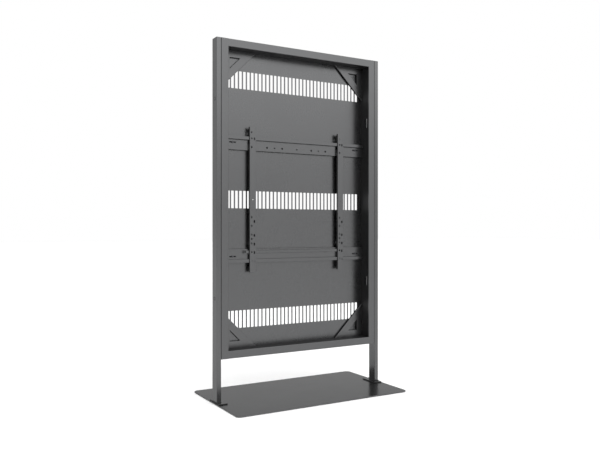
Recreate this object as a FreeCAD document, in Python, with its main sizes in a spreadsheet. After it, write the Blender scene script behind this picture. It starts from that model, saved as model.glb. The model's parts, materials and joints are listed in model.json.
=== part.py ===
import FreeCAD, Part
import math
import os
import re
import Sketcher

# Free-standing frame kiosk for a portrait display of the 75-inch class, without the display.
# +X is the viewer's right, +Y points to the back and +Z up. The origin lies on the floor under
# the middle of the base. All lengths are millimetres.

DRIVING_SIZES = {
    # base plate and the pads under it
    "base_width": 1100,
    "base_depth": 627,
    "base_thickness": 6,
    "base_corner": 25,
    "edge_round": 1,
    "pad_height": 2,
    "pad_radius": 20,
    "pad_pitch_across": 480,
    "pad_pitch_deep": 250,
    # posts, their caps and their foot plates
    "post_width": 28,
    "post_depth": 60,
    "post_wall": 2.5,
    "post_corner": 3,
    "post_gap": 1.5,
    "cap_thickness": 3,
    "cap_plug_length": 15,
    "cap_plug_clearance": 0.2,
    "foot_width": 51,
    "foot_length": 132,
    "foot_thickness": 6,
    "foot_bolt_inset": 16,
    "foot_bolt_spread": 50,
    "foot_bolt_recess": 4.7,
    "foot_bolt_recess_radius": 8.4,
    "foot_corner": 3,
    # enclosure
    "floor_gap": 240,
    "enclosure_width": 1035,
    "enclosure_height": 1770,
    "opening_width": 950,
    "opening_height": 1685,
    "member_depth": 87,
    "member_lip": 15,
    "sheet": 2.5,
    "fold_radius": 2,
    "frame_bolt_rise": 550,
    # back panel and its vents
    "panel_thickness": 2,
    "panel_inset": 2,
    "vent_width": 17,
    "vent_height": 100,
    "vent_corner": 3,
    "vent_pitch": 25,
    "vent_count": 36,
    "vent_row_rise": 683,
    "panel_screw_inset": 9,
    "panel_screw_rise": 240,
    "panel_screw_run": 240,
    # corner gussets
    "gusset_leg": 203,
    "gusset_depth": 13,
    "gusset_hole_offset": 39,
    "gusset_hole_leg": 66,
    # hook rails
    "rail_clearance": 0.5,
    "rail_stand_off": 12.5,
    "rail_inner_edge": 282,
    "rail_ledge": 341,
    "rail_lip_edge": 360,
    "rail_ledge_depth": 14.5,
    "rail_hole_rise": 304,
    "rail_slot_rise": 324,
    "rail_slot_reach": 419,
    "rail_slot_length": 42,
    "rail_slot_width": 7,
    # display brackets
    "bracket_width": 40,
    "bracket_length": 832,
    "bracket_depth": 15,
    "bracket_stand_off": 33,
    "column_spacing": 600,
    "bracket_shift": -7.5,
    "column_inset": 12,
    "column_hole_radius": 5,
    "centre_hole_radius": 3,
    "slot_column_inset": 29,
    "slot_column_length": 16,
    "slot_column_width": 9,
    # lock bar
    "bar_left_reach": 352.5,
    "bar_right_reach": 322.5,
    "bar_thickness": 4,
    "bar_height": 16,
    "bar_drop": 299,
    "bar_clearance": 0.6,
    "bar_front_gap": 7.5,
    "padlock_hole_radius": 5,
    "padlock_hole_inset": 7,
    # lock plates behind the brackets
    "lock_plate_width": 33,
    "lock_plate_top": 90,
    "lock_plate_step": 318,
    "lock_plate_gap": 0.2,
    "lock_plate_bottom": 366,
    "lock_tongue_top": 350,
    "lock_travel": 18,
    "lock_screw_drop": 262,
    # fasteners
    "frame_bolt_radius": 4,
    "bolt_clearance": 0.2,
    "washer_radius": 12,
    "access_radius": 9,
    "plug_radius": 11.5,
    "plug_height": 1.2,
    "plug_length": 8,
    "small_screw_radius": 2.5,
    "rail_bolt_radius": 3,
    # display stops
    "stop_rise": 492,
    "stop_height": 54,
    "stop_reach": 5,
    "stop_depth": 20,
    "stop_setback": 20,
}

BOLT_SOCKET_DEPTH = 2.5
FRAME_BOLT_HEAD = (7, 4.4, 2.5)
FOOT_BOLT_HEAD = (8, 4.6, 3)
PANEL_SCREW_HEAD = (4.5, 2.4, 1.5)
RAIL_BOLT_HEAD = (6.5, 4, 2.3)
LOCK_SCREW_HEAD = (5.5, 3.6, 1.7)

# heights of the bracket's holes above its middle, with those below it negative
ROUND_HOLE_RISES = (385, 350, 300, -100, -150, -200, -225, -250, -300, -350)
SLOT_RISES = (348, -125, -205, -255, -303, -355)
RAIL_SMALL_HOLES = (0, 150)
RAIL_LARGE_HOLES = (100, 200)
FRAME_BOLT_STEPS = (-1, 1)

doc = FreeCAD.newDocument("display_kiosk")


def make_sheet():
    """Puts every driving size in the spreadsheet, one aliased cell each."""
    sheet = doc.addObject("Spreadsheet::Sheet", "Sizes")
    for row, (alias, value) in enumerate(DRIVING_SIZES.items(), start=1):
        sheet.set(f"A{row}", alias)
        sheet.set(f"B{row}", str(value))
        sheet.setAlias(f"B{row}", alias)
    doc.recompute()
    return sheet


SHEET = make_sheet()


def on_sheet(expression):
    """Names the spreadsheet before every alias in an expression."""
    def named(match):
        word = match.group(0)
        return f"Sizes.{word}" if word in DRIVING_SIZES else word
    return re.sub(r"[A-Za-z_]+", named, str(expression))


# places that many pieces share, as expressions on the sheet
BASE_TOP = "(pad_height + base_thickness)"
FOOT_TOP = f"({BASE_TOP} + foot_thickness)"
ENCLOSURE_BOTTOM = f"({BASE_TOP} + floor_gap)"
ENCLOSURE_TOP = f"({ENCLOSURE_BOTTOM} + enclosure_height)"
ENCLOSURE_MIDDLE = f"({ENCLOSURE_BOTTOM} + enclosure_height / 2)"
MEMBER_WIDTH = "((enclosure_width - opening_width) / 2)"
FRONT_FACE = "(-post_depth / 2)"
PANEL_FRONT = f"({FRONT_FACE} + member_depth)"
RAIL_FRONT = f"({PANEL_FRONT} - rail_stand_off - sheet)"
RAIL_LIP_FRONT = f"({PANEL_FRONT} - rail_stand_off - rail_ledge_depth)"
BRACKET_FRONT = f"({PANEL_FRONT} - bracket_stand_off)"
POST_INNER_FACE = "(enclosure_width / 2 + post_gap)"
POST_CENTRE = f"({POST_INNER_FACE} + post_width / 2)"
POST_OUTER_FACE = f"({POST_INNER_FACE} + post_width)"


def new_body(label):
    """One sub-part, named for the file that it is written to."""
    body = doc.addObject("PartDesign::Body", label)
    body.Label = label
    return body


def new_sketch(body, name, role, offset=None):
    """A sketch on one of the body's origin planes, or parallel to it at an offset."""
    plane = next(item for item in body.Origin.OriginFeatures if item.Role == role)
    sketch = body.newObject("Sketcher::SketchObject", name)
    sketch.AttachmentSupport = (plane, [""])
    sketch.MapMode = "FlatFace"
    if offset is not None:
        sketch.setExpression("AttachmentOffset.Base.z", on_sheet(offset))
    return sketch


def bind_point(sketch, geometry, position, x, y):
    """Ties one point of a sketch to the origin by two signed distances."""
    start = sketch.getPoint(geometry, position)
    for kind, distance, expression in (("DistanceX", start.x, x), ("DistanceY", start.y, y)):
        index = sketch.addConstraint(Sketcher.Constraint(kind, -1, 1, geometry, position, distance))
        sketch.setExpression(f"Constraints[{index}]", on_sheet(expression))


def add_outline(sketch, corners):
    """A closed polygon through corners given as pairs of expressions."""
    first = sketch.GeometryCount
    count = len(corners)
    turn = 2 * math.pi / count
    start = [FreeCAD.Vector(math.cos(turn * i), math.sin(turn * i), 0) for i in range(count)]
    for i in range(count):
        sketch.addGeometry(Part.LineSegment(start[i], start[(i + 1) % count]), False)
    for i in range(count):
        sketch.addConstraint(Sketcher.Constraint("Coincident", first + i, 2, first + (i + 1) % count, 1))
    for i, (x, y) in enumerate(corners):
        bind_point(sketch, first + i, 1, x, y)


def add_rectangle(sketch, low_x, low_y, high_x, high_y):
    """A rectangle between two opposite corners."""
    add_outline(sketch, [(low_x, low_y), (high_x, low_y), (high_x, high_y), (low_x, high_y)])


def add_circle(sketch, x, y, radius):
    """A circle about a point, with its radius from the sheet."""
    index = sketch.addGeometry(Part.Circle(FreeCAD.Vector(0, 0, 0), FreeCAD.Vector(0, 0, 1), 1), False)
    bind_point(sketch, index, 3, x, y)
    constraint = sketch.addConstraint(Sketcher.Constraint("Radius", index, 1.0))
    sketch.setExpression(f"Constraints[{constraint}]", on_sheet(radius))


def add_rounded_rectangle(sketch, x, y, width, height, radius):
    """A rectangle about a point with four equal corner arcs, each tangent to its two sides."""
    first = sketch.GeometryCount
    quarter = math.pi / 2
    reach, inset = 10.0, 6.0
    signs = [(1, 1), (-1, 1), (-1, -1), (1, -1)]
    for i, (sx, sy) in enumerate(signs):
        centre = FreeCAD.Vector(sx * inset, sy * inset, 0)
        circle = Part.Circle(centre, FreeCAD.Vector(0, 0, 1), reach - inset)
        sketch.addGeometry(Part.ArcOfCircle(circle, quarter * i, quarter * (i + 1)), False)
    ends = [((inset, reach), (-inset, reach)), ((-reach, inset), (-reach, -inset)),
            ((-inset, -reach), (inset, -reach)), ((reach, -inset), (reach, inset))]
    for start, stop in ends:
        line = Part.LineSegment(FreeCAD.Vector(*start, 0), FreeCAD.Vector(*stop, 0))
        sketch.addGeometry(line, False)
    for i in range(4):
        arc, side, next_arc = first + i, first + 4 + i, first + (i + 1) % 4
        sketch.addConstraint(Sketcher.Constraint("Tangent", arc, 2, side, 1))
        sketch.addConstraint(Sketcher.Constraint("Tangent", side, 2, next_arc, 1))
        if i:
            sketch.addConstraint(Sketcher.Constraint("Equal", first, arc))
    index = sketch.addConstraint(Sketcher.Constraint("Radius", first, 4.0))
    sketch.setExpression(f"Constraints[{index}]", on_sheet(radius))
    for i, (sx, sy) in enumerate(signs):
        centre_x = f"{x} + {sx} * (({width}) / 2 - ({radius}))"
        centre_y = f"{y} + {sy} * (({height}) / 2 - ({radius}))"
        bind_point(sketch, first + i, 3, centre_x, centre_y)


def add_long_hole(sketch, x, y, length, width, upright):
    """A slot with round ends: two half circles joined by two tangent sides."""
    first = sketch.GeometryCount
    half_turn = math.pi
    start_angle = 0 if upright else -half_turn / 2
    reach, radius = 6.0, 2.0
    for sign in (1, -1):
        centre = FreeCAD.Vector(0, sign * reach, 0) if upright else FreeCAD.Vector(sign * reach, 0, 0)
        circle = Part.Circle(centre, FreeCAD.Vector(0, 0, 1), radius)
        begin = start_angle if sign == 1 else start_angle + half_turn
        sketch.addGeometry(Part.ArcOfCircle(circle, begin, begin + half_turn), False)
    sides = [((-radius, reach), (-radius, -reach)), ((radius, -reach), (radius, reach))]
    if not upright:
        sides = [((reach, radius), (-reach, radius)), ((-reach, -radius), (reach, -radius))]
    for start, stop in sides:
        line = Part.LineSegment(FreeCAD.Vector(*start, 0), FreeCAD.Vector(*stop, 0))
        sketch.addGeometry(line, False)
    for arc, side, next_arc in ((0, 2, 1), (1, 3, 0)):
        sketch.addConstraint(Sketcher.Constraint("Tangent", first + arc, 2, first + side, 1))
        sketch.addConstraint(Sketcher.Constraint("Tangent", first + side, 2, first + next_arc, 1))
    sketch.addConstraint(Sketcher.Constraint("Equal", first, first + 1))
    index = sketch.addConstraint(Sketcher.Constraint("Radius", first, radius))
    sketch.setExpression(f"Constraints[{index}]", on_sheet(f"({width}) / 2"))
    for i, sign in enumerate((1, -1)):
        shift = f"{sign} * (({length}) - ({width})) / 2"
        centre_x = x if upright else f"{x} + {shift}"
        centre_y = f"{y} + {shift}" if upright else y
        bind_point(sketch, first + i, 3, centre_x, centre_y)


def add_hexagon(sketch, x, y, radius):
    """A regular hexagon about a point, for a key socket."""
    corners = []
    for i in range(6):
        angle = math.radians(60 * i)
        corner_x = f"{x} + ({radius * math.cos(angle):.4f})"
        corner_y = f"{y} + ({radius * math.sin(angle):.4f})"
        corners.append((corner_x, corner_y))
    add_outline(sketch, corners)


def pad(body, sketch, length, against_normal=False):
    """Raises a sketch into a solid along its normal, or against it."""
    feature = body.newObject("PartDesign::Pad", f"{sketch.Name}_pad")
    feature.Profile = sketch
    feature.Reversed = against_normal
    feature.setExpression("Length", on_sheet(length))
    return feature


def pocket(body, sketch, depth=None, along_normal=False):
    """Cuts a sketch to a depth, or right through both ways, and checks that it removed something."""
    doc.recompute()
    before = body.Shape.Volume
    feature = body.newObject("PartDesign::Pocket", f"{sketch.Name}_pocket")
    feature.Profile = sketch
    if depth is None:
        feature.Type = "ThroughAll"
        feature.SideType = "Symmetric"
    else:
        feature.Reversed = along_normal
        feature.setExpression("Length", on_sheet(depth))
    doc.recompute()
    if not body.Shape.Volume < before - 0.1:
        raise RuntimeError(f"{feature.Label} in {body.Label} removed nothing")
    return feature


def fillet_edges(body, feature, name, radius, wanted):
    """Rounds the edges of a feature that the function wanted() picks."""
    doc.recompute()
    edges = [f"Edge{i}" for i, edge in enumerate(feature.Shape.Edges, start=1) if wanted(edge)]
    rounded = body.newObject("PartDesign::Fillet", name)
    rounded.Base = (feature, edges)
    rounded.setExpression("Radius", on_sheet(radius))
    return rounded


def is_level(edge, height):
    """True for an edge that lies wholly at one height along Z."""
    box = edge.BoundBox
    return abs(box.ZMin - height) < 0.01 and abs(box.ZMax - height) < 0.01


def is_front_fold(edge):
    """True for a long edge along Z on the face at local y = 0."""
    first, last = edge.Vertexes[0].Point, edge.Vertexes[-1].Point
    return abs(first.y) < 0.01 and abs(last.y) < 0.01 and abs(first.z - last.z) > 1


def place(body, x, y, z, turn_about_y=0):
    """Places a sub-part, with its position bound to the sheet and a turn about the Y axis."""
    body.Placement.Rotation = FreeCAD.Rotation(FreeCAD.Vector(0, 1, 0), turn_about_y)
    for axis, expression in (("x", x), ("y", y), ("z", z)):
        body.setExpression(f".Placement.Base.{axis}", on_sheet(expression))
    return body


def make_base_plate():
    """Flat steel plate with round corners and a tapped hole for each foot bolt."""
    body = new_body("base_plate")
    outline = new_sketch(body, "base_outline", "XY_Plane")
    add_rounded_rectangle(outline, "0", "0", "base_width", "base_depth", "base_corner")
    plate = pad(body, outline, "base_thickness")
    top = DRIVING_SIZES["base_thickness"]
    fillet_edges(body, plate, "base_rim", "edge_round", lambda edge: is_level(edge, top))
    holes = new_sketch(body, "base_holes", "XY_Plane")
    for x, y in foot_bolt_places():
        add_circle(holes, x, y, "frame_bolt_radius + bolt_clearance")
    pocket(body, holes)
    return place(body, "0", "0", "pad_height")


def foot_bolt_places():
    """Two bolts through each foot plate, on the strip inside the post."""
    reach = f"({POST_OUTER_FACE} - foot_width + foot_bolt_inset)"
    return [(f"{side} * {reach}", f"{end} * foot_bolt_spread") for side in (-1, 1) for end in (-1, 1)]


def make_base_pads():
    """Nine thin rubber discs in a grid under the base plate."""
    body = new_body("base_pads")
    outline = new_sketch(body, "pad_outlines", "XY_Plane")
    for column in (-1, 0, 1):
        for row in (-1, 0, 1):
            add_circle(outline, f"{column} * pad_pitch_across", f"{row} * pad_pitch_deep", "pad_radius")
    pad(body, outline, "pad_height")
    return place(body, "0", "0", "0")


def make_foot_plate(side_name, side):
    """Plate welded under a post and bolted to the base, with recesses for the bolts' heads."""
    body = new_body(f"{side_name}_foot_plate")
    outline = new_sketch(body, f"{side_name}_foot_outline", "XY_Plane")
    middle = f"{side} * ({POST_OUTER_FACE} - foot_width / 2)"
    add_rounded_rectangle(outline, middle, "0", "foot_width", "foot_length", "foot_corner")
    plate = pad(body, outline, "foot_thickness")
    top = DRIVING_SIZES["foot_thickness"]
    fillet_edges(body, plate, f"{side_name}_foot_rim", "edge_round", lambda edge: is_level(edge, top))
    holes = new_sketch(body, f"{side_name}_foot_holes", "XY_Plane")
    for x, y in foot_bolt_places():
        if x.startswith(f"{side} "):
            add_circle(holes, x, y, "frame_bolt_radius + bolt_clearance")
    pocket(body, holes)
    recesses = new_sketch(body, f"{side_name}_foot_recesses", "XY_Plane", "foot_thickness")
    for x, y in foot_bolt_places():
        if x.startswith(f"{side} "):
            add_circle(recesses, x, y, "foot_bolt_recess_radius")
    pocket(body, recesses, "foot_bolt_recess")
    return place(body, "0", "0", BASE_TOP)


def make_post(side_name, side):
    """Upright of rectangular tube, open at the top.

    Its inner wall has a hole for each frame bolt, and its outer wall a wider one to reach the head.
    """
    body = new_body(f"{side_name}_post")
    profile = new_sketch(body, f"{side_name}_post_profile", "XY_Plane")
    add_rounded_rectangle(profile, "0", "0", "post_width", "post_depth", "post_corner")
    add_rectangle(profile, "-post_width / 2 + post_wall", "-post_depth / 2 + post_wall",
                  "post_width / 2 - post_wall", "post_depth / 2 - post_wall")
    pad(body, profile, f"{ENCLOSURE_TOP} - cap_thickness - {FOOT_TOP}")
    for wall, radius, towards_right in (("inner", "frame_bolt_radius + bolt_clearance", side < 0),
                                        ("outer", "access_radius", side > 0)):
        holes = new_sketch(body, f"{side_name}_post_{wall}_holes", "YZ_Plane")
        for step in FRAME_BOLT_STEPS:
            rise = f"{ENCLOSURE_MIDDLE} - {FOOT_TOP} + {step} * frame_bolt_rise"
            add_circle(holes, "0", rise, radius)
        pocket(body, holes, "post_width / 2 + 1", along_normal=towards_right)
    return place(body, f"{side} * {POST_CENTRE}", "0", FOOT_TOP)


def make_post_cap(side_name, side):
    """Flat cap on a post, with a plug that fits inside the tube."""
    body = new_body(f"{side_name}_post_cap")
    lid = new_sketch(body, f"{side_name}_cap_outline", "XY_Plane")
    add_rounded_rectangle(lid, "0", "0", "post_width", "post_depth", "post_corner")
    cap = pad(body, lid, "cap_thickness")
    top = DRIVING_SIZES["cap_thickness"]
    fillet_edges(body, cap, f"{side_name}_cap_rim", "edge_round", lambda edge: is_level(edge, top))
    plug = new_sketch(body, f"{side_name}_cap_plug", "XY_Plane")
    inset = "(post_wall + cap_plug_clearance)"
    add_rectangle(plug, f"-post_width / 2 + {inset}", f"-post_depth / 2 + {inset}",
                  f"post_width / 2 - {inset}", f"post_depth / 2 - {inset}")
    pad(body, plug, "cap_plug_length", against_normal=True)
    return place(body, f"{side} * {POST_CENTRE}", "0", f"{ENCLOSURE_TOP} - cap_thickness")


def make_post_plugs(side_name, side):
    """Push-in covers over the outer holes of a post: a domed disc and a short plug behind it."""
    body = new_body(f"{side_name}_post_plugs")
    discs = new_sketch(body, f"{side_name}_plug_discs", "YZ_Plane")
    plugs = new_sketch(body, f"{side_name}_plug_shanks", "YZ_Plane")
    for step in FRAME_BOLT_STEPS:
        rise = f"{step} * frame_bolt_rise"
        add_circle(discs, "0", rise, "plug_radius")
        add_circle(plugs, "0", rise, "access_radius - bolt_clearance")
    raised = pad(body, discs, "plug_height", against_normal=side < 0)
    outer = side * DRIVING_SIZES["plug_height"]
    fillet_edges(body, raised, f"{side_name}_plug_rims", "plug_height * 0.6",
                 lambda edge: abs(edge.BoundBox.XMin - outer) < 0.01 and edge.Closed)
    pad(body, plugs, "plug_length", against_normal=side > 0)
    return place(body, f"{side} * {POST_OUTER_FACE}", "0", ENCLOSURE_MIDDLE)


def fold_member(body, name, length):
    """Folded sheet channel: front face, inner and outer walls, and a lip at the rear outer edge.

    The profile lies in the XY plane, with the outer wall at x = 0 and the front at y = 0, and
    runs along Z. The outer front fold and the inner front fold are rounded.
    """
    profile = new_sketch(body, f"{name}_profile", "XY_Plane")
    width, depth = MEMBER_WIDTH, "member_depth"
    add_outline(profile, [
        ("0", "0"), (width, "0"), (width, depth), (f"{width} - sheet", depth),
        (f"{width} - sheet", "sheet"), ("sheet", "sheet"), ("sheet", f"{depth} - sheet"),
        ("member_lip", f"{depth} - sheet"), ("member_lip", depth), ("0", depth)])
    return pad(body, profile, length)


def make_stile(side_name, side):
    """Full-height side member of the enclosure, closed at both ends by welded plates.

    Its inner front fold is filled square at both ends, where the cross members are welded on flush.
    """
    name = f"{side_name}_stile"
    body = new_body(name)
    fold_member(body, name, "enclosure_height")
    for end, offset in (("bottom", "0"), ("top", "enclosure_height - sheet")):
        plate = new_sketch(body, f"{name}_{end}_plate", "XY_Plane", offset)
        add_rectangle(plate, "0", "0", MEMBER_WIDTH, "member_depth")
        closed = pad(body, plate, "sheet")
    fillet_edges(body, closed, f"{name}_folds", "fold_radius", is_front_fold)
    for end, offset in (("bottom", "0"), ("top", f"enclosure_height - {MEMBER_WIDTH}")):
        weld = new_sketch(body, f"{name}_{end}_weld", "XY_Plane", offset)
        add_rectangle(weld, f"{MEMBER_WIDTH} - fold_radius", "0", MEMBER_WIDTH, "fold_radius")
        pad(body, weld, MEMBER_WIDTH)
    bolts = new_sketch(body, f"{name}_bolt_holes", "YZ_Plane")
    for step in FRAME_BOLT_STEPS:
        rise = f"enclosure_height / 2 + {step} * frame_bolt_rise"
        add_circle(bolts, "post_depth / 2", rise, "frame_bolt_radius + bolt_clearance")
    pocket(body, bolts, "member_lip", along_normal=True)
    screws = new_sketch(body, f"{name}_screw_holes", "XZ_Plane", "-member_depth")
    for step in range(-3, 4):
        rise = f"enclosure_height / 2 + {step} * panel_screw_rise"
        add_circle(screws, "panel_screw_inset", rise, "small_screw_radius + bolt_clearance")
    pocket(body, screws, "sheet * 2", along_normal=True)
    if side < 0:
        return place(body, "-enclosure_width / 2", FRONT_FACE, ENCLOSURE_BOTTOM)
    return place(body, "enclosure_width / 2", FRONT_FACE, ENCLOSURE_TOP, turn_about_y=180)


def make_cross_member(name, top):
    """Top or bottom member of the enclosure, butted between the stiles."""
    body = new_body(name)
    folded = fold_member(body, name, "opening_width")
    fillet_edges(body, folded, f"{name}_folds", "fold_radius", is_front_fold)
    screws = new_sketch(body, f"{name}_screw_holes", "XZ_Plane", "-member_depth")
    for step in (-1, 0, 1):
        run = f"opening_width / 2 + {step} * panel_screw_run"
        add_circle(screws, "panel_screw_inset", run, "small_screw_radius + bolt_clearance")
    pocket(body, screws, "sheet * 2", along_normal=True)
    if top:
        return place(body, "-opening_width / 2", FRONT_FACE, ENCLOSURE_TOP, turn_about_y=90)
    return place(body, "opening_width / 2", FRONT_FACE, ENCLOSURE_BOTTOM, turn_about_y=-90)


def panel_screw_places():
    """Screws round the rim of the back panel, from the middle of the enclosure."""
    side_reach = "(enclosure_width / 2 - panel_screw_inset)"
    end_reach = "(enclosure_height / 2 - panel_screw_inset)"
    places = [(f"{side} * {side_reach}", f"{step} * panel_screw_rise")
              for side in (-1, 1) for step in range(-3, 4)]
    places += [(f"{step} * panel_screw_run", f"{end} * {end_reach}")
               for end in (-1, 1) for step in (-1, 0, 1)]
    return places


def make_back_panel():
    """Flat sheet over the back of the enclosure with three rows of upright vent slots."""
    body = new_body("back_panel")
    outline = new_sketch(body, "panel_outline", "XZ_Plane")
    add_rounded_rectangle(outline, "0", "0", "enclosure_width - 2 * panel_inset",
                          "enclosure_height - 2 * panel_inset", "fold_radius")
    for x, z in panel_screw_places():
        add_circle(outline, x, z, "small_screw_radius + bolt_clearance")
    pad(body, outline, "panel_thickness")
    vents = new_sketch(body, "first_vents", "XZ_Plane")
    first_x = "-(vent_count - 1) * vent_pitch / 2"
    for row in (-1, 0, 1):
        add_rounded_rectangle(vents, first_x, f"{row} * vent_row_rise",
                              "vent_width", "vent_height", "vent_corner")
    first_vents = pocket(body, vents)
    pattern = body.newObject("PartDesign::LinearPattern", "vent_rows")
    pattern.Originals = [first_vents]
    pattern.Direction = (vents, ["H_Axis"])
    pattern.setExpression("Length", on_sheet("(vent_count - 1) * vent_pitch"))
    pattern.setExpression("Occurrences", on_sheet("vent_count"))
    body.Tip = pattern
    return place(body, "0", f"{PANEL_FRONT} + panel_thickness", ENCLOSURE_MIDDLE)


def make_gusset(name, side, end, turn):
    """Corner gusset: a triangular plate in front, with a folded rim back to the panel.

    Its triangular hole has a flange of its own, also folded back to the panel.
    """
    body = new_body(name)
    outline = new_sketch(body, f"{name}_outline", "XZ_Plane")
    add_outline(outline, [("0", "0"), ("gusset_leg", "0"), ("0", "-gusset_leg")])
    plate = pad(body, outline, "gusset_depth")
    front = -DRIVING_SIZES["gusset_depth"]
    fillet_edges(body, plate, f"{name}_fold", "fold_radius", lambda edge: is_slanted_at(edge, front))
    hollow = new_sketch(body, f"{name}_hollow", "XZ_Plane")
    reach = f"(gusset_leg - sheet * {1 + math.sqrt(2):.4f})"
    add_outline(hollow, [("sheet", "-sheet"), (reach, "-sheet"), ("sheet", f"-{reach}")])
    far = "(gusset_hole_offset + gusset_hole_leg)"
    flange_near = "(gusset_hole_offset - sheet)"
    flange_far = f"({far} + sheet * {1 + math.sqrt(2):.4f})"
    add_outline(hollow, [(flange_near, f"-{flange_near}"), (flange_far, f"-{flange_near}"),
                         (flange_near, f"-{flange_far}")])
    pocket(body, hollow, "gusset_depth - sheet", along_normal=True)
    hole = new_sketch(body, f"{name}_hole", "XZ_Plane")
    add_outline(hole, [("gusset_hole_offset", "-gusset_hole_offset"), (far, "-gusset_hole_offset"),
                       ("gusset_hole_offset", f"-{far}")])
    pocket(body, hole)
    return place(body, f"{side} * opening_width / 2", PANEL_FRONT,
                 f"{ENCLOSURE_MIDDLE} + {end} * opening_height / 2", turn_about_y=turn)


def is_slanted_at(edge, depth):
    """True for an edge at a depth along Y that runs along neither X nor Z."""
    box = edge.BoundBox
    return abs(box.YMin - depth) < 0.01 and abs(box.YMax - depth) < 0.01 and min(box.XLength, box.ZLength) > 1


def is_outer_bend(edge, body_box):
    """True for the outer line of a rail's two bends, at the height of its ledge."""
    box = edge.BoundBox
    ledge, thickness = DRIVING_SIZES["rail_ledge"], DRIVING_SIZES["sheet"]
    at_face = abs(box.YMin - body_box.YMin) < 0.01 or abs(box.YMax - body_box.YMax) < 0.01
    return box.XLength > 100 and at_face and ledge - 0.01 < box.ZMin < ledge + thickness + 0.01


def make_rail(name, upper):
    """Hook rail across the enclosure: web, forward ledge and a lip that points away from the middle."""
    body = new_body(name)
    profile = new_sketch(body, f"{name}_profile", "YZ_Plane")
    back = f"({RAIL_FRONT} + sheet)"
    add_outline(profile, [
        (RAIL_FRONT, "rail_inner_edge"), (back, "rail_inner_edge"), (back, "rail_ledge + sheet"),
        (f"{RAIL_LIP_FRONT} + sheet", "rail_ledge + sheet"), (f"{RAIL_LIP_FRONT} + sheet", "rail_lip_edge"),
        (RAIL_LIP_FRONT, "rail_lip_edge"), (RAIL_LIP_FRONT, "rail_ledge"), (RAIL_FRONT, "rail_ledge")])
    strip = pad(body, profile, "opening_width - 2 * rail_clearance")
    doc.recompute()
    reach = strip.Shape.BoundBox
    fillet_edges(body, strip, f"{name}_bends", "fold_radius", lambda edge: is_outer_bend(edge, reach))
    holes = new_sketch(body, f"{name}_holes", "XZ_Plane", f"-{RAIL_FRONT}")
    middle = "(opening_width / 2 - rail_clearance)"
    for radius, reaches in ((4, RAIL_SMALL_HOLES), (5.5, RAIL_LARGE_HOLES)):
        for reach in reaches:
            for side in sorted({-1, 1 if reach else -1}):
                add_circle(holes, f"{middle} + {side * reach}", "rail_hole_rise", radius)
    for side in (-1, 1):
        add_long_hole(holes, f"{middle} + {side} * rail_slot_reach", "rail_slot_rise",
                      "rail_slot_length", "rail_slot_width", upright=False)
    pocket(body, holes)
    if upper:
        return place(body, f"-{middle}", "0", ENCLOSURE_MIDDLE)
    return place(body, middle, "0", ENCLOSURE_MIDDLE, turn_about_y=180)


def rail_bolt_places():
    """One bolt at each end of both rails, from the middle of the enclosure."""
    return [(f"{side} * rail_slot_reach", f"{end} * rail_slot_rise")
            for side in (-1, 1) for end in (-1, 1)]


def make_rail_spacers():
    """Tubular spacers that hold the rails off the back panel."""
    body = new_body("rail_spacers")
    outline = new_sketch(body, "spacer_outlines", "XZ_Plane")
    for x, z in rail_bolt_places():
        add_circle(outline, x, z, "rail_bolt_radius + 5")
        add_circle(outline, x, z, "rail_bolt_radius + bolt_clearance")
    pad(body, outline, "rail_stand_off")
    return place(body, "0", PANEL_FRONT, ENCLOSURE_MIDDLE)


def make_bolts(label, places, role, head, shank_radius, shank_length, head_along_normal):
    """A group of socket-head fasteners: flat round head with a hexagon socket, and a plain shank.

    The underside of every head lies on the body's origin plane of that role.
    """
    head_radius, head_height, socket_radius = head
    body = new_body(label)
    heads = new_sketch(body, f"{label}_heads", role)
    for x, y in places:
        add_circle(heads, x, y, head_radius)
    raised = pad(body, heads, head_height, against_normal=not head_along_normal)
    doc.recompute()
    rims = [f"Edge{i}" for i, edge in enumerate(raised.Shape.Edges, start=1)
            if edge.Closed and abs(outward(edge, role)) > head_height / 2]
    rounded = body.newObject("PartDesign::Fillet", f"{label}_rims")
    rounded.Base = (raised, rims)
    rounded.Radius = head_height * 0.3
    shanks = new_sketch(body, f"{label}_shanks", role)
    for x, y in places:
        add_circle(shanks, x, y, shank_radius)
    pad(body, shanks, shank_length, against_normal=head_along_normal)
    sockets = new_sketch(body, f"{label}_sockets", role, head_height if head_along_normal else -head_height)
    for x, y in places:
        add_hexagon(sockets, x, y, socket_radius)
    pocket(body, sockets, min(BOLT_SOCKET_DEPTH, head_height * 0.6), along_normal=not head_along_normal)
    return body


def outward(edge, role):
    """Distance of an edge from the origin plane of a role."""
    centre = edge.BoundBox.Center
    return {"XY_Plane": centre.z, "XZ_Plane": centre.y, "YZ_Plane": centre.x}[role]


def make_foot_bolts():
    """Four bolts that hold the foot plates to the base, with their heads below the plates' tops."""
    body = make_bolts("foot_bolts", foot_bolt_places(), "XY_Plane", FOOT_BOLT_HEAD,
                      "frame_bolt_radius", "foot_thickness - foot_bolt_recess + base_thickness - 1", True)
    return place(body, "0", "0", f"{FOOT_TOP} - foot_bolt_recess")


def make_frame_bolts(side_name, side):
    """Bolts from inside a post through a spacer into the stile, reached through the post's outer wall."""
    places = [("0", f"{step} * frame_bolt_rise") for step in FRAME_BOLT_STEPS]
    body = make_bolts(f"{side_name}_frame_bolts", places, "YZ_Plane", FRAME_BOLT_HEAD,
                      "frame_bolt_radius", "sheet + post_gap + post_wall + 8", side > 0)
    return place(body, f"{side} * ({POST_INNER_FACE} + post_wall)", "0", ENCLOSURE_MIDDLE)


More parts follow.
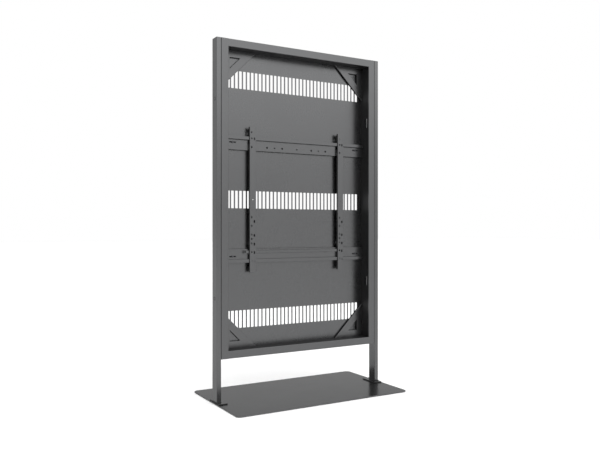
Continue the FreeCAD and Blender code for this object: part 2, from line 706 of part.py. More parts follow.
def make_frame_spacers(side_name, side):
    """Washers that set the narrow gap between a stile and its post."""
    body = new_body(f"{side_name}_frame_spacers")
    outline = new_sketch(body, f"{side_name}_washers", "YZ_Plane")
    for step in FRAME_BOLT_STEPS:
        rise = f"{step} * frame_bolt_rise"
        add_circle(outline, "0", rise, "washer_radius")
        add_circle(outline, "0", rise, "frame_bolt_radius + bolt_clearance")
    pad(body, outline, "post_gap", against_normal=side < 0)
    return place(body, f"{side} * enclosure_width / 2", "0", ENCLOSURE_MIDDLE)


def make_panel_screws():
    """Screws that hold the back panel to the lips of the members."""
    body = make_bolts("back_panel_screws", panel_screw_places(), "XZ_Plane", PANEL_SCREW_HEAD,
                      "small_screw_radius", "panel_thickness + sheet + 2", False)
    return place(body, "0", f"{PANEL_FRONT} + panel_thickness", ENCLOSURE_MIDDLE)


def make_rail_bolts():
    """Bolts through the rails' end slots and the spacers to the back panel."""
    body = make_bolts("rail_bolts", rail_bolt_places(), "XZ_Plane", RAIL_BOLT_HEAD,
                      "rail_bolt_radius", "sheet + rail_stand_off", True)
    return place(body, "0", RAIL_FRONT, ENCLOSURE_MIDDLE)


def make_bracket(name, centre_x):
    """Upright display bracket: shallow channel that hooks over the upper rail.

    Its flanges carry a hook for the upper rail's lip, an open notch for the lower rail and a slot
    for the lock bar. The face has a column of round holes and a column of slots: a display hangs
    from the upper holes, and its lower screws take the lower hole that fits its pattern.
    """
    body = new_body(name)
    profile = new_sketch(body, f"{name}_profile", "XY_Plane")
    width, depth = "bracket_width", "bracket_depth"
    add_outline(profile, [
        ("0", "0"), (width, "0"), (width, depth), (f"{width} - sheet", depth),
        (f"{width} - sheet", "sheet"), ("sheet", "sheet"), ("sheet", depth), ("0", depth)])
    channel = pad(body, profile, "bracket_length")
    fillet_edges(body, channel, f"{name}_folds", "fold_radius", is_front_fold)
    middle = "bracket_length / 2"
    holes = new_sketch(body, f"{name}_holes", "XZ_Plane")
    centre = "bracket_width / 2"
    add_circle(holes, centre, middle, "centre_hole_radius")
    add_circle(holes, centre, f"{middle} - lock_screw_drop", "small_screw_radius + bolt_clearance")
    for rise in ROUND_HOLE_RISES:
        add_circle(holes, "column_inset", f"{middle} + {rise}", "column_hole_radius")
    for rise in SLOT_RISES:
        add_long_hole(holes, "slot_column_inset", f"{middle} + {rise}",
                      "slot_column_length", "slot_column_width", upright=True)
    pocket(body, holes)
    notches = new_sketch(body, f"{name}_notches", "YZ_Plane")
    notch_front = "(bracket_depth - 9.8)"
    hook_front = "(bracket_depth - 5.7)"
    beyond = "(bracket_depth + 1)"
    add_outline(notches, [
        (beyond, f"{middle} + rail_ledge - 21"), (notch_front, f"{middle} + rail_ledge - 21"),
        (notch_front, f"{middle} + rail_lip_edge + 1.5"), (hook_front, f"{middle} + rail_lip_edge + 1.5"),
        (hook_front, f"{middle} + rail_ledge + sheet + 0.3"),
        (beyond, f"{middle} + rail_ledge + sheet + 0.3")])
    add_rectangle(notches, notch_front, f"{middle} - rail_lip_edge - 20", beyond,
                  f"{middle} - rail_ledge + 1")
    bar_middle = f"{middle} - bar_drop"
    bar_reach = "(bar_height / 2 + bar_clearance)"
    add_rectangle(notches, "bar_front_gap - bar_clearance", f"{bar_middle} - {bar_reach}",
                  "bar_front_gap + bar_thickness + bar_clearance", f"{bar_middle} + {bar_reach}")
    pocket(body, notches)
    return place(body, f"{centre_x} - column_inset", BRACKET_FRONT, f"{ENCLOSURE_MIDDLE} - {middle}")


def make_lock_bar():
    """Flat bar through both brackets, with a padlock hole at its left end."""
    body = new_body("lock_bar")
    outline = new_sketch(body, "bar_outline", "XZ_Plane")
    length = "(bar_left_reach + bar_right_reach)"
    add_rounded_rectangle(outline, f"{length} / 2", "0", length, "bar_height", "fold_radius")
    bar = pad(body, outline, "bar_thickness")
    front = -DRIVING_SIZES["bar_thickness"]
    fillet_edges(body, bar, "bar_rim", "edge_round * 0.6",
                 lambda edge: abs(edge.BoundBox.YMax - front) < 0.01)
    hole = new_sketch(body, "padlock_hole", "XZ_Plane")
    add_circle(hole, "padlock_hole_inset", "0", "padlock_hole_radius")
    pocket(body, hole)
    return place(body, "-bar_left_reach", f"{BRACKET_FRONT} + bar_front_gap + bar_thickness",
                 f"{ENCLOSURE_MIDDLE} - bar_drop")


def make_lock_plate(side_name, column_x):
    """Sliding plate behind a bracket's face, with a tongue that reaches up behind the lower rail's lip.

    From the top it runs down at the back of the bracket, steps forward above the rail, passes in
    front of the rail's lip and turns back and up into the tongue.
    """
    name = f"{side_name}_lock_plate"
    body = new_body(name)
    profile = new_sketch(body, f"{name}_profile", "YZ_Plane")
    front = "(sheet + 0.4)"
    back = "(bracket_depth - lock_plate_gap)"
    add_outline(profile, [
        (front, "-lock_plate_bottom"), (back, "-lock_plate_bottom"), (back, "-lock_tongue_top"),
        (f"{back} - sheet", "-lock_tongue_top"), (f"{back} - sheet", "-lock_plate_bottom + sheet"),
        (f"{front} + sheet", "-lock_plate_bottom + sheet"), (f"{front} + sheet", "-lock_plate_step - sheet"),
        (back, "-lock_plate_step - sheet"), (back, "-lock_plate_top"), (f"{back} - sheet", "-lock_plate_top"),
        (f"{back} - sheet", "-lock_plate_step"), (front, "-lock_plate_step")])
    pad(body, profile, "lock_plate_width")
    slot = new_sketch(body, f"{name}_slot", "XZ_Plane")
    add_long_hole(slot, "lock_plate_width / 2", "-lock_screw_drop + lock_travel / 2",
                  "lock_travel + 2 * small_screw_radius + 2", "2 * small_screw_radius + 1", upright=True)
    pocket(body, slot)
    return place(body, f"{column_x} - column_inset + (bracket_width - lock_plate_width) / 2",
                 BRACKET_FRONT, ENCLOSURE_MIDDLE)


def make_lock_screw(side_name, column_x):
    """Screw that clamps a lock plate to its bracket, with its head at the rear."""
    places = [("0", "0")]
    body = make_bolts(f"{side_name}_lock_screw", places, "XZ_Plane", LOCK_SCREW_HEAD,
                      "small_screw_radius", "bracket_depth", False)
    return place(body, f"{column_x} - column_inset + bracket_width / 2",
                 f"{BRACKET_FRONT} + bracket_depth", f"{ENCLOSURE_MIDDLE} - lock_screw_drop")


def make_display_stops(side_name, side):
    """Two small angle stops on a side wall of the bay, above and below the middle."""
    name = f"{side_name}_display_stops"
    body = new_body(name)
    for end in (-1, 1):
        end_name = "upper" if end > 0 else "lower"
        profile = new_sketch(body, f"{name}_{end_name}", "XY_Plane", f"{end} * stop_rise - stop_height / 2")
        add_outline(profile, [
            ("0", "0"), ("0", "stop_depth"), ("-sheet", "stop_depth"), ("-sheet", "sheet"),
            ("-stop_reach", "sheet"), ("-stop_reach", "0")])
        pad(body, profile, "stop_height")
    return place(body, f"{side} * opening_width / 2", f"{FRONT_FACE} + stop_setback",
                 ENCLOSURE_MIDDLE, turn_about_y=0 if side > 0 else 180)


def make_all():
    """Makes every sub-part and returns them in the order of assembly."""
    pieces = [make_base_plate(), make_base_pads(), make_foot_bolts()]
    for side_name, side in (("left", -1), ("right", 1)):
        column_x = f"bracket_shift + {side} * column_spacing / 2"
        pieces += [
            make_foot_plate(side_name, side), make_post(side_name, side), make_post_cap(side_name, side),
            make_post_plugs(side_name, side), make_stile(side_name, side), make_frame_bolts(side_name, side),
            make_frame_spacers(side_name, side), make_display_stops(side_name, side),
            make_bracket(f"{side_name}_bracket", column_x), make_lock_plate(side_name, column_x),
            make_lock_screw(side_name, column_x)]
    pieces += [make_cross_member("top_member", True), make_cross_member("bottom_member", False)]
    pieces += [make_back_panel(), make_panel_screws()]
    corners = [("top_left_gusset", -1, 1, 0), ("top_right_gusset", 1, 1, 90),
               ("bottom_right_gusset", 1, -1, 180), ("bottom_left_gusset", -1, -1, 270)]
    pieces += [make_gusset(*corner) for corner in corners]
    pieces += [make_rail("upper_rail", True), make_rail("lower_rail", False)]
    pieces += [make_rail_spacers(), make_rail_bolts(), make_lock_bar()]
    return pieces


def check(pieces):
    """Stops if any object of the document failed, or a sub-part has no valid solid."""
    doc.recompute()
    for item in doc.Objects:
        if "Invalid" in item.State or "Error" in item.State:
            raise RuntimeError(f"{item.Label} did not recompute: {item.State}")
    for piece in pieces:
        if piece.Shape.isNull() or not piece.Shape.isValid() or not piece.Shape.Solids:
            raise RuntimeError(f"{piece.Label} has no valid solid")


def write(pieces):
    """Writes one STEP file for each sub-part."""
    os.makedirs("parts", exist_ok=True)
    for piece in pieces:
        piece.Shape.exportStep(f"parts/{piece.Label}.step")
        print(f"{piece.Label}: {len(piece.Shape.Solids)} solids, {piece.Shape.Volume / 1000:.1f} cm3")


sub_parts = make_all()
check(sub_parts)
write(sub_parts)
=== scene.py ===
import json
import math

import bpy
import numpy as np
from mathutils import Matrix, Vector


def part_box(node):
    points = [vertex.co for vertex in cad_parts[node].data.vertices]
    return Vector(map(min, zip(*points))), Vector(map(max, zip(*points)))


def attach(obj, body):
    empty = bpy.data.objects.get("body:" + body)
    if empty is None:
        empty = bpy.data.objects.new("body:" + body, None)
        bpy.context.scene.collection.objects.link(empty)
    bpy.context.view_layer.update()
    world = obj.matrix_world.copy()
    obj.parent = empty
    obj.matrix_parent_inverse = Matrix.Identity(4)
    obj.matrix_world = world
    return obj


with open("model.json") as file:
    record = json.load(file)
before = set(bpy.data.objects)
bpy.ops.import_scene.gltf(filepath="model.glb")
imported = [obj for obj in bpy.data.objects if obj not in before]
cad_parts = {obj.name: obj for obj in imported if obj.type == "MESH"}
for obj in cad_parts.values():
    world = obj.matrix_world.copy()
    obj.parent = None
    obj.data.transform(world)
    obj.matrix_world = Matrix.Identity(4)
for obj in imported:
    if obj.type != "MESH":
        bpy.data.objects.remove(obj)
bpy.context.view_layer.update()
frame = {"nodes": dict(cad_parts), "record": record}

MILLIMETRE = 0.001

# surroundings: the glow is brightness added to a white world of strength 1. It comes in over a range
# of the direction's height and over a range of the cosine of its angle from the glow's bearing, which
# is turned from the front towards the right. Powers are in watts and lengths in metres.
GLOW = 1.2
GLOW_HEIGHTS = (0.04, 0.28)
GLOW_COSINES = (0.2, 0.9)
GLOW_BEARING = math.radians(30)
LAMP_POWER = 60
LAMP_SIZE = 4.0
LAMP_PLACE = (-1.0, -1.5, 5.0)
FLOOR_REACH = 40.0
FLOOR_TONES = ((0.97, 0.97, 0.97), (0.985, 0.985, 0.985))

# camera: its place from the top of the left stile's front left edge, in heights of the stile. The lens
# and the sensor are in millimetres, and the shift is a share of the picture's width.
CAMERA_BACK = 2.0673
CAMERA_ASIDE = 0.24342
CAMERA_DROP = 0.5902
CAMERA_TURN = math.radians(30)
CAMERA_LENS = 40.0
CAMERA_SENSOR = 36.0
CAMERA_SHIFT = 1 / 240

# finishes: tone of the bare finish where it faces the eye, as red, green and blue
COAT_TONE = (0.114, 0.115, 0.117)
WORN_TONE = (0.24, 0.24, 0.25)
# painted shade: the next four tones stand in for shade, not for the coat's colour: on faces turned from
# the front, on the bay's inner walls and the foot plates' edges, on the brackets' sides, and on the weld
# beads in the corners
PAINTED_SHADE_TONE = (0.022, 0.022, 0.023)
WALL_SHADE_TONE = (0.05, 0.05, 0.051)
BRACKET_SHADE_TONE = (0.1, 0.1, 0.102)
WELD_SHADE_TONE = (0.03, 0.03, 0.031)
OXIDE_TONE = (0.075, 0.075, 0.08)
DARK_ZINC_TONE = (0.125, 0.127, 0.133)
STOP_TONE = (0.47, 0.475, 0.485)
RUBBER_TONE = (0.018, 0.018, 0.018)
PLASTIC_TONE = (0.03, 0.03, 0.031)

# painted shade: how much rougher the coat is where shade is painted, and how far behind the front of the
# frame that painted shade starts in the bay
SHADE_ROUGHNESS = 0.25
SHADE_START = 8 * MILLIMETRE

# weld beads: the number of sides of their section and the height of their ripples, as a share of the
# radius; the post's corner radius; the radius of each kind of bead and the step of its ripples; where
# the stitches start and stop, as shares of the gusset's leg
BEAD_SIDES = 10
BEAD_RIPPLE = 0.09
POST_CORNER = 3 * MILLIMETRE
FOOT_BEAD = 2.6 * MILLIMETRE
FOOT_RIPPLE = 5 * MILLIMETRE
STITCH_BEAD = 2.4 * MILLIMETRE
STITCH_RIPPLE = 4 * MILLIMETRE
STITCHES = ((0.2, 0.36), (0.62, 0.78))


# ---------------------------------------------------------------- node helpers

def new_material(name):
    """A node material that holds only its Principled shader, joined to the output."""
    material = bpy.data.materials.new(name)
    material.use_nodes = True
    nodes = material.node_tree.nodes
    nodes.clear()
    output = nodes.new("ShaderNodeOutputMaterial")
    shader = nodes.new("ShaderNodeBsdfPrincipled")
    material.node_tree.links.new(shader.outputs["BSDF"], output.inputs["Surface"])
    return material, shader


def add_node(material, kind, **settings):
    """A node with its properties and its unlinked inputs set by name."""
    node = material.node_tree.nodes.new(kind)
    for name, value in settings.items():
        if hasattr(node, name):
            setattr(node, name, value)
        else:
            node.inputs[name.replace("_", " ")].default_value = value
    return node


def join(material, source, target):
    """Links an output socket to an input socket."""
    material.node_tree.links.new(source, target)


def object_place(material):
    """Object coordinates, in metres."""
    return add_node(material, "ShaderNodeTexCoord").outputs["Object"]


def noise(material, scale, detail=2.0, roughness=0.5):
    """Noise over Object coordinates, with the scale in cells per metre."""
    texture = add_node(material, "ShaderNodeTexNoise", Scale=scale, Detail=detail, Roughness=roughness)
    join(material, object_place(material), texture.inputs["Vector"])
    return texture.outputs["Fac"]


def spread(material, source, low, high, start=0.3, stop=0.7):
    """Maps a value from start..stop to low..high, held at both ends."""
    node = add_node(material, "ShaderNodeMapRange")
    node.inputs["From Min"].default_value = start
    node.inputs["From Max"].default_value = stop
    node.inputs["To Min"].default_value = low
    node.inputs["To Max"].default_value = high
    join(material, source, node.inputs["Value"])
    return node.outputs["Result"]


def arithmetic(material, operation, first, second):
    """A Math node on two operands, each a number or a socket."""
    node = add_node(material, "ShaderNodeMath", operation=operation)
    for value, socket in ((first, node.inputs[0]), (second, node.inputs[1])):
        if isinstance(value, (int, float)):
            socket.default_value = value
        else:
            join(material, value, socket)
    return node.outputs[0]


def mix_colours(material, factor, first, second):
    """Mixes two colours, each a tuple or a socket."""
    node = add_node(material, "ShaderNodeMix", data_type="RGBA")
    join(material, factor, node.inputs["Factor"])
    for value, socket in ((first, node.inputs[6]), (second, node.inputs[7])):
        if isinstance(value, tuple):
            socket.default_value = (*value, 1.0)
        else:
            join(material, value, socket)
    return node.outputs[2]


def bump(material, height, distance, strength=1.0, under=None):
    """Tilts the normal by a height, in metres, over an optional normal under it."""
    node = add_node(material, "ShaderNodeBump", Strength=strength, Distance=distance)
    join(material, height, node.inputs["Height"])
    if under is not None:
        join(material, under, node.inputs["Normal"])
    return node.outputs["Normal"]


def soft_edges(material, radius):
    """The normal of the surface with its edges rounded by a radius, in metres."""
    node = add_node(material, "ShaderNodeBevel", samples=4)
    node.inputs["Radius"].default_value = radius
    return node.outputs["Normal"]


def edge_mask(material, rounded):
    """One along the edges and nothing on the flats: how far the rounded normal leans from the true one."""
    geometry = add_node(material, "ShaderNodeNewGeometry")
    lean = add_node(material, "ShaderNodeVectorMath", operation="DOT_PRODUCT")
    join(material, rounded, lean.inputs[0])
    join(material, geometry.outputs["Normal"], lean.inputs[1])
    return spread(material, lean.outputs["Value"], 1, 0, start=0.8, stop=0.98)


def box_mask(material, low, high):
    """One inside a box given by two corners, nothing outside, with edges 0.2 mm wide."""
    axes = add_node(material, "ShaderNodeSeparateXYZ")
    join(material, object_place(material), axes.inputs[0])
    inside = None
    for axis in range(3):
        middle = (low[axis] + high[axis]) / 2
        reach = (high[axis] - low[axis]) / 2
        offset = arithmetic(material, "SUBTRACT", axes.outputs[axis], middle)
        distance = arithmetic(material, "ABSOLUTE", offset, 0.0)
        within = spread(material, distance, 1, 0, start=reach - 0.0001, stop=reach + 0.0001)
        inside = within if inside is None else arithmetic(material, "MULTIPLY", inside, within)
    return inside


def turned_from(material, axis):
    """One where the surface is turned from an axis, nothing where it faces along it.

    Axis 1 keeps the faces towards the front, which is -Y, and axis 2 those on top, towards +Z.
    """
    geometry = add_node(material, "ShaderNodeNewGeometry")
    axes = add_node(material, "ShaderNodeSeparateXYZ")
    join(material, geometry.outputs["True Normal"], axes.inputs[0])
    facing = arithmetic(material, "MULTIPLY", axes.outputs[axis], -1.0 if axis == 1 else 1.0)
    return spread(material, facing, 1, 0, 0.5, 0.95)


# ---------------------------------------------------------------- finishes

def satin_coat(name, tone, sheen, flatness=0.9, shaded_part=None, shade_tone=PAINTED_SHADE_TONE):
    """Dark metallic powder coat: fine flake mottle, slow sheen patches, orange peel and rubbed edges.

    Sheen is the mean roughness. A lower flatness makes the coat darker at grazing angles. On a shaded
    part the colour is painted shade, mixed towards a darker shade tone, and the coat is rougher there.
    That shaded part is either the inside of a box, given by two corners, or every face turned from an
    axis.
    """
    material, shader = new_material(name)
    shader.inputs["Metallic"].default_value = 1.0
    shader.inputs["Specular Tint"].default_value = (flatness, flatness, flatness, 1)
    rounded = soft_edges(material, 0.8 * MILLIMETRE)
    flake = spread(material, noise(material, 1400, 3), 0, 1)
    light = tuple(channel * 1.05 for channel in tone)
    dark = tuple(channel * 0.95 for channel in tone)
    colour = mix_colours(material, flake, dark, light)
    cloud = spread(material, noise(material, 3.5, 3), 0, 0.35)
    colour = mix_colours(material, cloud, colour, tuple(channel * 0.94 for channel in tone))
    rubbed = arithmetic(material, "MULTIPLY", edge_mask(material, rounded),
                        spread(material, noise(material, 55, 4), 0, 0.45, 0.42, 0.7))
    colour = mix_colours(material, rubbed, colour, WORN_TONE)
    gloss = spread(material, noise(material, 7, 3), sheen * 0.93, sheen * 1.07)
    grain = spread(material, noise(material, 260, 2), -0.012, 0.012)
    gloss = arithmetic(material, "ADD", gloss, grain)
    # painted shade: on the shaded part the colour is mixed to the darker shade tone, and the roughness is
    # raised
    if shaded_part is not None:
        by_axis = isinstance(shaded_part, int)
        painted_shade = turned_from(material, shaded_part) if by_axis else box_mask(material, *shaded_part)
        colour = mix_colours(material, painted_shade, colour, shade_tone)
        matt = arithmetic(material, "MULTIPLY", painted_shade, SHADE_ROUGHNESS)
        gloss = arithmetic(material, "ADD", gloss, matt)
    join(material, colour, shader.inputs["Base Color"])
    join(material, gloss, shader.inputs["Roughness"])
    peel = bump(material, noise(material, 420, 2), 0.03 * MILLIMETRE, 0.35, rounded)
    join(material, bump(material, noise(material, 2600, 2), 0.006 * MILLIMETRE, 0.4, peel),
         shader.inputs["Normal"])
    return material


def plated_steel(name, tone, sheen):
    """Zinc-plated steel: fine mottle in colour, gloss and relief, and blotches of passivation."""
    material, shader = new_material(name)
    shader.inputs["Metallic"].default_value = 1.0
    shader.inputs["Specular Tint"].default_value = (0.7, 0.7, 0.7, 1)
    rounded = soft_edges(material, 0.4 * MILLIMETRE)
    mottle = spread(material, noise(material, 500, 3), 0, 1)
    colour = mix_colours(material, mottle, tuple(channel * 0.88 for channel in tone),
                         tuple(channel * 1.1 for channel in tone))
    blotch = spread(material, noise(material, 60, 3), 0, 0.5)
    colour = mix_colours(material, blotch, colour, tuple(channel * 0.85 for channel in tone))
    join(material, colour, shader.inputs["Base Color"])
    gloss = arithmetic(material, "ADD", spread(material, mottle, sheen * 0.9, sheen * 1.15, 0, 1),
                       spread(material, noise(material, 35, 2), -0.03, 0.03))
    join(material, gloss, shader.inputs["Roughness"])
    join(material, bump(material, mottle, 0.004 * MILLIMETRE, 0.5, rounded), shader.inputs["Normal"])
    return material


def black_oxide(name):
    """Black-oxide screw steel: oily sheen that varies, turning marks and brighter rubbed edges."""
    material, shader = new_material(name)
    shader.inputs["Metallic"].default_value = 1.0
    rounded = soft_edges(material, 0.3 * MILLIMETRE)
    film = spread(material, noise(material, 300, 3), 0, 1)
    colour = mix_colours(material, film, tuple(channel * 0.8 for channel in OXIDE_TONE),
                         tuple(channel * 1.2 for channel in OXIDE_TONE))
    rubbed = arithmetic(material, "MULTIPLY", edge_mask(material, rounded),
                        spread(material, noise(material, 400, 2), 0.1, 0.7))
    colour = mix_colours(material, rubbed, colour, WORN_TONE)
    join(material, colour, shader.inputs["Base Color"])
    join(material, spread(material, film, 0.3, 0.42, 0, 1), shader.inputs["Roughness"])
    join(material, bump(material, noise(material, 1800, 2), 0.01 * MILLIMETRE, 0.5, rounded),
         shader.inputs["Normal"])
    return material


def moulded(name, tone, sheen, texture_scale, texture_depth):
    """Moulded rubber or plastic: a spark-eroded grain, faint dust and a soft edge."""
    material, shader = new_material(name)
    rounded = soft_edges(material, 0.4 * MILLIMETRE)
    dust = spread(material, noise(material, 90, 4, 0.6), 0, 0.35)
    colour = mix_colours(material, dust, tone, tuple(channel * 1.9 + 0.008 for channel in tone))
    join(material, colour, shader.inputs["Base Color"])
    join(material, spread(material, noise(material, 40, 2), sheen * 0.92, sheen * 1.08),
         shader.inputs["Roughness"])
    join(material, bump(material, noise(material, texture_scale, 2), texture_depth, 0.6, rounded),
         shader.inputs["Normal"])
    return material


# ---------------------------------------------------------------- weld beads

def bead_mesh(path, upward, radius, ripple, closed):
    """A round bead carried along a path.

    The path is resampled evenly by its length s. At each step the section is a circle across the
    path. Its radius is the bead's radius times 1 + 0.09 cos(2 pi s / ripple). On an open path it also
    shrinks to nothing at both ends, times the square root of 1 - (2 s / length - 1)^10.
    """
    track = np.vstack([path, path[:1]]) if closed else np.asarray(path)
    hops = np.linalg.norm(np.diff(track, axis=0), axis=1)
    travel = np.concatenate([[0], np.cumsum(hops)])
    length = travel[-1]
    steps = max(12, int(length / (ripple / 4)))
    s = np.linspace(0, length, steps + 1)
    if closed:
        s = s[:-1]
    points = np.stack([np.interp(s, travel, track[:, axis]) for axis in range(3)], axis=1)
    along = np.roll(points, -1, 0) - np.roll(points, 1, 0) if closed else np.gradient(points, axis=0)
    along /= np.linalg.norm(along, axis=1)[:, None]
    across = np.cross(along, upward)
    across /= np.linalg.norm(across, axis=1)[:, None]
    over = np.cross(across, along)
    swell = radius * (1 + BEAD_RIPPLE * np.cos(2 * math.pi * s / ripple))
    if not closed:
        swell = swell * np.sqrt(np.clip(1 - (2 * s / length - 1) ** 10, 1e-6, 1))
    side = np.arange(BEAD_SIDES)
    angle = side * 2 * math.pi / BEAD_SIDES
    sideways = np.cos(angle)[None, :, None] * across[:, None, :]
    upwards = np.sin(angle)[None, :, None] * over[:, None, :]
    vertices = (points[:, None, :] + swell[:, None, None] * (sideways + upwards)).reshape(-1, 3)
    rows = len(points)
    first = np.arange(rows if closed else rows - 1)
    after = (first + 1) % rows
    next_side = (side + 1) % BEAD_SIDES
    here = first[:, None] * BEAD_SIDES
    there = after[:, None] * BEAD_SIDES
    faces = np.stack([(here + side).ravel(), (there + side).ravel(),
                      (there + next_side).ravel(), (here + next_side).ravel()], axis=1)
    caps = [] if closed else [tuple(side), tuple((rows - 1) * BEAD_SIDES + side[::-1])]
    return vertices, [tuple(face) for face in faces.tolist()] + caps


def rounded_loop(low_x, low_y, high_x, high_y, height, corner):
    """A level loop round a rectangle: eight points on a quarter circle at each corner."""
    turn = np.linspace(0, math.pi / 2, 8)
    centres = [(high_x - corner, high_y - corner), (low_x + corner, high_y - corner),
               (low_x + corner, low_y + corner), (high_x - corner, low_y + corner)]
    arcs = []
    for quarter, (x, y) in enumerate(centres):
        angle = turn + quarter * math.pi / 2
        arcs.append(np.stack([x + corner * np.cos(angle), y + corner * np.sin(angle),
                              np.full_like(angle, height)], axis=1))
    return np.vstack(arcs)


def add_piece(name, meshes, material, body):
    """One smooth-shaded object from several meshes, riding on a body."""
    vertices = []
    faces = []
    start = 0
    for points, quads in meshes:
        vertices.append(points)
        faces += [tuple(start + index for index in quad) for quad in quads]
        start += len(points)
    mesh = bpy.data.meshes.new(name)
    mesh.from_pydata(np.vstack(vertices).tolist(), [], faces)
    mesh.validate()
    mesh.polygons.foreach_set("use_smooth", np.ones(len(mesh.polygons), bool))
    mesh.materials.append(material)
    piece = bpy.data.objects.new(name, mesh)
    bpy.context.collection.objects.link(piece)
    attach(piece, body)


def make_foot_welds(material):
    """A fillet bead round the bottom of each post, where it stands on its foot plate."""
    for side in ("left", "right"):
        low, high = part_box(f"{side}_post")
        loop = rounded_loop(low[0], low[1], high[0], high[1], low[2], POST_CORNER)
        bead = bead_mesh(loop, (0, 0, 1), FOOT_BEAD, FOOT_RIPPLE, True)
        add_piece(f"{side}_foot_weld", [bead], material, "structure")


def make_gusset_welds(material):
    """Two short stitch beads along each leg of every gusset, in the corner with the bay's wall."""
    corners = (("top_left", -1, 1), ("top_right", 1, 1), ("bottom_right", 1, -1), ("bottom_left", -1, -1))
    for corner, side, end in corners:
        low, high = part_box(f"{corner}_gusset")
        wall = high[0] if side > 0 else low[0]
        member = high[2] if end > 0 else low[2]
        leg = high[0] - low[0]
        front = low[1]
        beads = []
        for start, stop in STITCHES:
            run = np.linspace(start, stop, 12) * leg
            still = np.ones_like(run)
            upright = np.stack([wall * still, front * still, member - end * run], axis=1)
            level = np.stack([wall - side * run, front * still, member * still], axis=1)
            for path in (upright, level):
                beads.append(bead_mesh(path, (0, 1, 0), STITCH_BEAD, STITCH_RIPPLE, False))
        add_piece(f"{corner}_gusset_welds", beads, material, "structure")


# ---------------------------------------------------------------- scene

def make_camera():
    """Camera about a metre above the floor, turned 30 degrees from the front, looking level."""
    low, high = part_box("left_stile")
    height = high[2] - low[2]
    view = np.array([math.sin(CAMERA_TURN), math.cos(CAMERA_TURN)])
    right = np.array([view[1], -view[0]])
    corner = np.array([low[0], low[1]])
    spot = corner - view * CAMERA_BACK * height + right * CAMERA_ASIDE * height
    data = bpy.data.cameras.new("camera")
    data.sensor_width = CAMERA_SENSOR
    data.lens = CAMERA_LENS
    data.shift_y = CAMERA_SHIFT
    data.clip_end = 100
    camera = bpy.data.objects.new("camera", data)
    camera.location = (spot[0], spot[1], high[2] - CAMERA_DROP * height)
    camera.rotation_euler = (math.radians(90), 0, -CAMERA_TURN)
    bpy.context.collection.objects.link(camera)
    bpy.context.scene.camera = camera


def make_floor():
    """Plain pale floor with a matt, barely mottled surface."""
    reach = FLOOR_REACH
    corners = [(-reach, -reach, 0), (reach, -reach, 0), (reach, reach, 0), (-reach, reach, 0)]
    mesh = bpy.data.meshes.new("floor")
    mesh.from_pydata(corners, [], [(0, 1, 2, 3)])
    floor = bpy.data.objects.new("floor", mesh)
    bpy.context.collection.objects.link(floor)
    material, shader = new_material("pale_floor")
    colour = mix_colours(material, noise(material, 2), *FLOOR_TONES)
    join(material, colour, shader.inputs["Base Color"])
    shader.inputs["Roughness"].default_value = 0.9
    mesh.materials.append(material)


def make_light():
    """White surroundings that grow brighter high at the front right, and one soft lamp overhead.

    The added brightness is the glow times a smooth ramp in the height of the direction, times a
    smooth ramp in the cosine of its angle from the glow's bearing.
    """
    world = bpy.data.worlds.new("surroundings")
    bpy.context.scene.world = world
    world.use_nodes = True
    nodes = world.node_tree.nodes
    links = world.node_tree.links
    place = nodes.new("ShaderNodeTexCoord")
    parts = nodes.new("ShaderNodeSeparateXYZ")
    links.new(place.outputs["Generated"], parts.inputs[0])
    bearing = nodes.new("ShaderNodeVectorMath")
    bearing.operation = "DOT_PRODUCT"
    bearing.inputs[1].default_value = (math.sin(GLOW_BEARING), -math.cos(GLOW_BEARING), 0)
    links.new(place.outputs["Generated"], bearing.inputs[0])
    ramps = []
    for source, (start, stop) in ((parts.outputs["Z"], GLOW_HEIGHTS),
                                  (bearing.outputs["Value"], GLOW_COSINES)):
        ramp = nodes.new("ShaderNodeMapRange")
        ramp.interpolation_type = "SMOOTHSTEP"
        ramp.inputs["From Min"].default_value = start
        ramp.inputs["From Max"].default_value = stop
        links.new(source, ramp.inputs["Value"])
        ramps.append(ramp.outputs["Result"])
    glow = nodes.new("ShaderNodeMath")
    glow.operation = "MULTIPLY"
    links.new(ramps[0], glow.inputs[0])
    links.new(ramps[1], glow.inputs[1])
    strength = nodes.new("ShaderNodeMath")
    strength.operation = "MULTIPLY_ADD"
    strength.inputs[1].default_value = GLOW
    strength.inputs[2].default_value = 1.0
    links.new(glow.outputs[0], strength.inputs[0])
    links.new(strength.outputs[0], nodes["Background"].inputs["Strength"])
    nodes["Background"].inputs["Color"].default_value = (1, 1, 1, 1)
    data = bpy.data.lights.new("soft_lamp", "AREA")
    data.shape = "DISK"
    data.size = LAMP_SIZE
    data.energy = LAMP_POWER
    lamp = bpy.data.objects.new("soft_lamp", data)
    lamp.location = LAMP_PLACE
    aim = -Vector(LAMP_PLACE)
    lamp.rotation_euler = aim.to_track_quat("-Z", "Y").to_euler()
    bpy.context.collection.objects.link(lamp)


def bay_box():
    """The inner walls of the bay as a box, from behind the front of the frame to its back, where the
    members get painted shade.
    """
    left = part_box("left_stile")
    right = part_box("right_stile")
    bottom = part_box("bottom_member")
    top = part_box("top_member")
    skin = 0.2 * MILLIMETRE
    low = (left[1][0] - skin, left[0][1] + SHADE_START, bottom[1][2] - skin)
    high = (right[0][0] + skin, left[1][1] + skin, top[0][2] + skin)
    return low, high


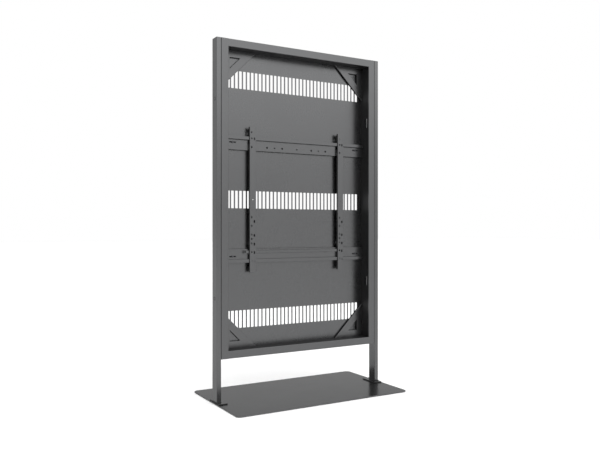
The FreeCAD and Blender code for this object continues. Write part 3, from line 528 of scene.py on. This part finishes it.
def paint_frame(finish_of_slot, finish_of_node):
    """Gives every CAD node the finish of its own, or else of its slot in the record."""
    for part in frame["record"]["subparts"]:
        name = part["node"]
        finish = finish_of_node.get(name, finish_of_slot[part["material_slot"]])
        mesh = frame["nodes"][name].data
        mesh.materials.clear()
        mesh.materials.append(finish)


make_camera()
make_floor()
make_light()
bpy.context.scene.view_settings.view_transform = "Standard"

post_coat = satin_coat("post_coat", COAT_TONE, 0.2, flatness=0.7)
# painted shade: the foot plates' faces that do not face up are painted darker
foot_coat = satin_coat("foot_coat", COAT_TONE, 0.23, flatness=0.6, shaded_part=2, shade_tone=WALL_SHADE_TONE)
# painted shade: the weld beads are painted dark for the shade in the corners where they sit
weld_shade_coat = satin_coat("weld_shade_coat", WELD_SHADE_TONE, 0.4)
panel_coat = satin_coat("panel_coat", COAT_TONE, 0.28)
# painted shade: the members' faces inside the bay are painted darker
member_coat = satin_coat("member_coat", COAT_TONE, 0.3, shaded_part=bay_box(), shade_tone=WALL_SHADE_TONE)
# painted shade: fittings and brackets are painted darker on faces turned from the front
fitting_coat = satin_coat("fitting_coat", COAT_TONE, 0.3, shaded_part=1)
bracket_coat = satin_coat("bracket_coat", COAT_TONE, 0.3, shaded_part=1, shade_tone=BRACKET_SHADE_TONE)
base_coat = satin_coat("base_coat", COAT_TONE, 0.23, flatness=0.58)
# painted shade: the stops and the lock bar are painted darker on faces turned from the front
stop_coat = satin_coat("stop_coat", STOP_TONE, 0.42, shaded_part=1)
bar_coat = satin_coat("bar_coat", COAT_TONE, 0.26, shaded_part=1)
screws = black_oxide("black_screws")
dark_zinc = plated_steel("dark_zinc", DARK_ZINC_TONE, 0.3)
rubber = moulded("pad_rubber", RUBBER_TONE, 0.8, 900, 0.05 * MILLIMETRE)
plastic = moulded("plug_plastic", PLASTIC_TONE, 0.5, 1500, 0.02 * MILLIMETRE)

paint_frame(
    {"frame_paint": fitting_coat, "mount_paint": fitting_coat, "base_paint": base_coat,
     "dark_fasteners": screws, "dark_plated_steel": dark_zinc, "pad_rubber": rubber,
     "plug_plastic": plastic, "stop_plating": stop_coat},
    {"left_stile": member_coat, "right_stile": member_coat, "top_member": member_coat,
     "bottom_member": member_coat, "lock_bar": bar_coat, "back_panel": panel_coat,
     "left_bracket": bracket_coat, "right_bracket": bracket_coat,
     "left_post": post_coat, "right_post": post_coat, "left_post_cap": post_coat,
     "right_post_cap": post_coat, "left_foot_plate": foot_coat, "right_foot_plate": foot_coat})

make_foot_welds(weld_shade_coat)
make_gusset_welds(weld_shade_coat)
